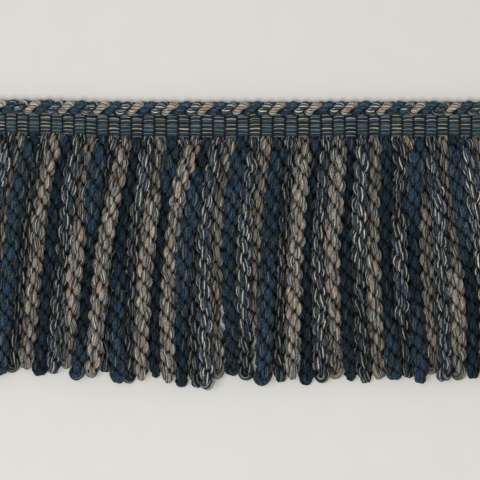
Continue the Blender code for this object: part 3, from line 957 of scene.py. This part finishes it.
def block_edges():
    """Places of the grooves between the heading's blocks, and of its two cut ends."""
    heads = [b.head * MM for b in BULLIONS]
    between = [0.5 * (a + b) for a, b in zip(heads[:-1], heads[1:])]
    first = heads[0] - (between[0] - heads[0])
    last = heads[-1] + (heads[-1] - between[-1])
    return [first] + between + [last]


# Pieces

WEFT_PIECES = {
    "A": ("navy_bullions", "bullions_navy", "navy_yarn"),
    "B": ("blue_cream_bullions", "bullions_blue_cream", "blue_cream_yarn"),
    "C": ("peach_cream_bullions", "bullions_peach_cream", "peach_cream_yarn"),
}


def make_bullions(weft, half, routes, outline, material):
    """The bullions of one weft in one half of the fringe, as one piece."""
    stations, side, up = routes
    name, node, slot = WEFT_PIECES[weft]
    middle = len(BULLIONS) // 2
    mine = range(middle) if half == "left" else range(middle, len(BULLIONS))
    plies = []
    for i in mine:
        if BULLIONS[i].weft == weft:
            chance = np.random.default_rng(BULLION_SEED + i)
            plies += bullion_plies(BULLIONS[i], stations, side[i], up[i], chance)
    piece = laid_yarns(name + "_" + half, plies, outline, BULLION_REACH, ridged=True,
                       first=LEG_PLIES * mine[0], mates=LEG_PLIES, folded=True, flank_shade=FLANK_SHADE)
    piece.data.materials.append(material)
    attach(piece, "root")
    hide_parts(node)
    return piece


def make_edge(outline, materials):
    """Three strands, one of each weft and each of two plies, that turn over each other along the
    heading's upper edge. Each comes over the front a little to the right of its own bullion, and
    turns faster there than behind."""
    edges = block_edges()
    x = np.linspace(edges[0], edges[-1], EDGE_STEPS)
    middle = np.stack([x, -HEADING_LOW + PIECE_GAP + EDGE_MIDDLE + TOP_RISE * heading_rise(x),
                       np.full(len(x), EDGE_HEIGHT)], axis=1)
    pitch = 3.0 * (edges[-1] - edges[0]) / len(BULLIONS)
    heads = [b.head * MM for b in BULLIONS]
    places = np.array([heads[0] - pitch] + heads + [heads[-1] + pitch])
    counts = np.array([-3.0] + list(range(len(heads))) + [len(heads) + 2.0])
    blocks = np.interp(x - EDGE_LEAD, places, counts)
    ways = np.tile((1.0, 0.0, 0.0), (len(x), 1))
    even = np.ones(len(x))
    plies = []
    for number, weft in enumerate("ABC"):
        chance = np.random.default_rng(STRAND_SEED + number)
        passed = -math.tau * (blocks - "CAB".index(weft)) / 3.0
        passed += wobble(chance, x, STRAND_TURN_WANDER)
        turn = 0.5 * math.pi + passed + EDGE_STEEPNESS * np.sin(passed)
        strand = middle + EDGE_STRAND_OFFSET * ring_steps(turn)
        for ply in range(2):
            ply_turn = math.pi * ply + 0.25 * number - passed
            ply_turn += wobble(chance, x, STRAND_PLY_WANDER)
            points = strand + EDGE_PLY_OFFSET * ring_steps(ply_turn)
            points[:, 0] += EDGE_PLY_SPREAD * np.cos(ply_turn) * np.sin(turn)
            bulge = np.cos(ply_turn - turn)
            girth = (1.0 + EDGE_PLY_BULGE * bulge) * (1.0 + wobble(chance, x, STRAND_GIRTH_WANDER))
            yarn_turn = math.tau * (x - edges[0]) / EDGE_YARN_PITCH + chance.uniform(0.0, 6.0)
            # Painted shade: a strand is drawn lighter where it turns over the top and darker where it
            # turns under
            painted_light = ease(-0.45, 0.4, np.sin(turn) + 0.22 * np.cos(turn))
            plies.append(Route(points, girth, yarn_turn, middle, ways, 1.5 * painted_light - 0.5, even))
    piece = laid_yarns("edge_strands", plies, outline, EDGE_REACH, ridged=True, mates=len(plies))
    colour_strands(piece, materials)
    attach(piece, "root")
    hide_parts("twisted_edge")
    return piece


def colour_strands(piece, materials):
    """Gives each strand the finish of its weft. The map's second number counts the plies, two to a
    strand."""
    for material in materials:
        piece.data.materials.append(material)
    where = np.zeros(2 * len(piece.data.loops))
    piece.data.uv_layers[YARN_MAP].data.foreach_get("uv", where)
    plies = where.reshape(-1, 2)[:, 1]
    for face in piece.data.polygons:
        face.material_index = min(2, int(np.mean(plies[list(face.loop_indices)]) / 2.0))


def ring_steps(turn):
    """Steps of one unit away from a line along X, at each turn about it."""
    return np.stack([np.zeros(len(turn)), np.cos(turn), np.sin(turn)], axis=1)


def make_heading_yarns(outline, material):
    """Warp yarns in two sets, which pass over and under the wefts by turns, block by block."""
    edges = block_edges()
    pitch = HEADING_HEIGHT / WARP_ROWS
    amplitude = 0.5 * HEADING_THICKNESS - WARP_ROOM
    chance = np.random.default_rng(BLOCK_SEED)
    arcs = chance.uniform(*BLOCK_ARCS, len(edges)) * MM
    leans = chance.uniform(*BLOCK_LEANS, len(edges)) * MM
    routes = []
    for group in range(2):
        for number in range(WARP_ROWS):
            chance = np.random.default_rng(WARP_SEEDS[group] + number)
            height = number / WARP_ROWS
            y = HEADING_LOW + (number + 0.5) * pitch
            y += (LIGHT_SHIFT - LIGHT_DROOP * (1.0 - height) if group else DARK_SHIFT) * pitch
            rise = 1.0 + (TOP_RISE - 1.0) * (number + 0.5) / WARP_ROWS
            points = []
            for block, (left, right) in enumerate(zip(edges[:-1], edges[1:])):
                for t, arch in (OVER_ARCH if block % 2 == group else UNDER_ARCH):
                    x = 0.5 * (left + right) + 0.5 * (right - left) * t
                    arc = arcs[block] * (0.5 + height) * (1.0 - t * t) + leans[block] * t
                    points.append((x, y + arc + rise * float(heading_rise(x)),
                                   0.5 * HEADING_THICKNESS + amplitude * arch))
            end = edges[-1]
            points.append((end, y + rise * float(heading_rise(end)), 0.5 * HEADING_THICKNESS))
            points = np.array(points)
            points[:, 1] += wobble(chance, points[:, 0], WARP_ROW_WANDER)
            girth = chance.uniform(0.88, 1.12)
            girth = girth * (1.0 + wobble(chance, points[:, 0], WARP_GIRTH_WANDER))
            # Painted shade is measured from a line just below each yarn, so the yarn's top is drawn
            # lightest
            below = points - np.array([0.0, 0.0, WARP_ROOM])
            routes.append(straight_route(points, girth, below))
    piece = laid_yarns("heading_yarns", routes, outline, 2.0 * WARP_ROOM)
    piece.data.materials.append(material)
    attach(piece, "root")
    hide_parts("heading_tape")
    return piece


def straight_route(points, girth, centre):
    """A route along the heading, without a twist of its own."""
    ones = np.ones(len(points))
    ways = np.tile((1.0, 0.0, 0.0), (len(points), 1))
    return Route(points, girth, 0.0 * ones, centre, ways, ones, ones)


def make_core(outline, material):
    """The wefts packed inside the heading, as one dark band, dark in part as painted shade."""
    edges = block_edges()
    x = np.linspace(edges[0] + CORE_INSET, edges[-1] - CORE_INSET, CORE_STEPS)
    points = np.stack([x, heading_rise(x), np.full(len(x), 0.5 * HEADING_THICKNESS)], axis=1)
    route = straight_route(points, np.ones(len(x)), points)
    piece = laid_yarns("heading_core", [route], outline, HEADING_HEIGHT)
    piece.data.materials.append(material)
    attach(piece, "root")
    return piece


def make_floor():
    bpy.ops.object.select_all(action="DESELECT")
    bpy.ops.mesh.primitive_plane_add(size=FLOOR_SIZE, location=(0.0, 0.0, 0.0))
    floor = bpy.context.view_layer.objects.active
    floor.name = "floor"
    cover = Finish("floor_cover", roughness=0.9)
    spot = cover.node("ShaderNodeTexCoord", {})[3]
    grain = cover.noise(spot, 60.0)
    tone = cover.mix(grain, paint(224, 223, 218), paint(228, 227, 222))
    cover.set(cover.shader.inputs["Base Color"], tone)
    floor.data.materials.append(cover.material)


def main():
    set_camera()
    make_floor()
    set_light()

    finishes = yarn_finishes("yarn_", WEFT_THREADS, BULLION_LOOKS)
    ply_outline = yarn_outline("ply_outline", PLY_RADIUS, YARNS_ROUND_PLY, YARN_RIDGE)
    strand_outline = yarn_outline("strand_outline", EDGE_PLY_RADIUS, EDGE_YARNS, EDGE_YARN_RIDGE)
    single_outline = round_outline("single_outline", WARP_RADIUS, WARP_SIDES)
    core_outline = ring_profile("core_outline", [(-y * MM, z * MM) for y, z in CORE_BAND])

    routes = settled_routes()
    bullions = [make_bullions(weft, half, routes, ply_outline, finishes[weft])
                for weft in "ABC" for half in ("left", "right")]

    edge_finishes = yarn_finishes("edge_yarn_", EDGE_THREADS, EDGE_LOOKS)
    edge = make_edge(strand_outline, list(edge_finishes.values()))

    bands = [paint(*level) for group in WARP_COLOURS for level in group[::-1]]
    yarns = make_heading_yarns(single_outline, heading_finish(bands))
    core = make_core(core_outline, core_finish())
    [yarns, edge] + bullions

    for outline in (ply_outline, strand_outline, single_outline, core_outline):
        bpy.data.objects.remove(outline, do_unlink=True)


main()
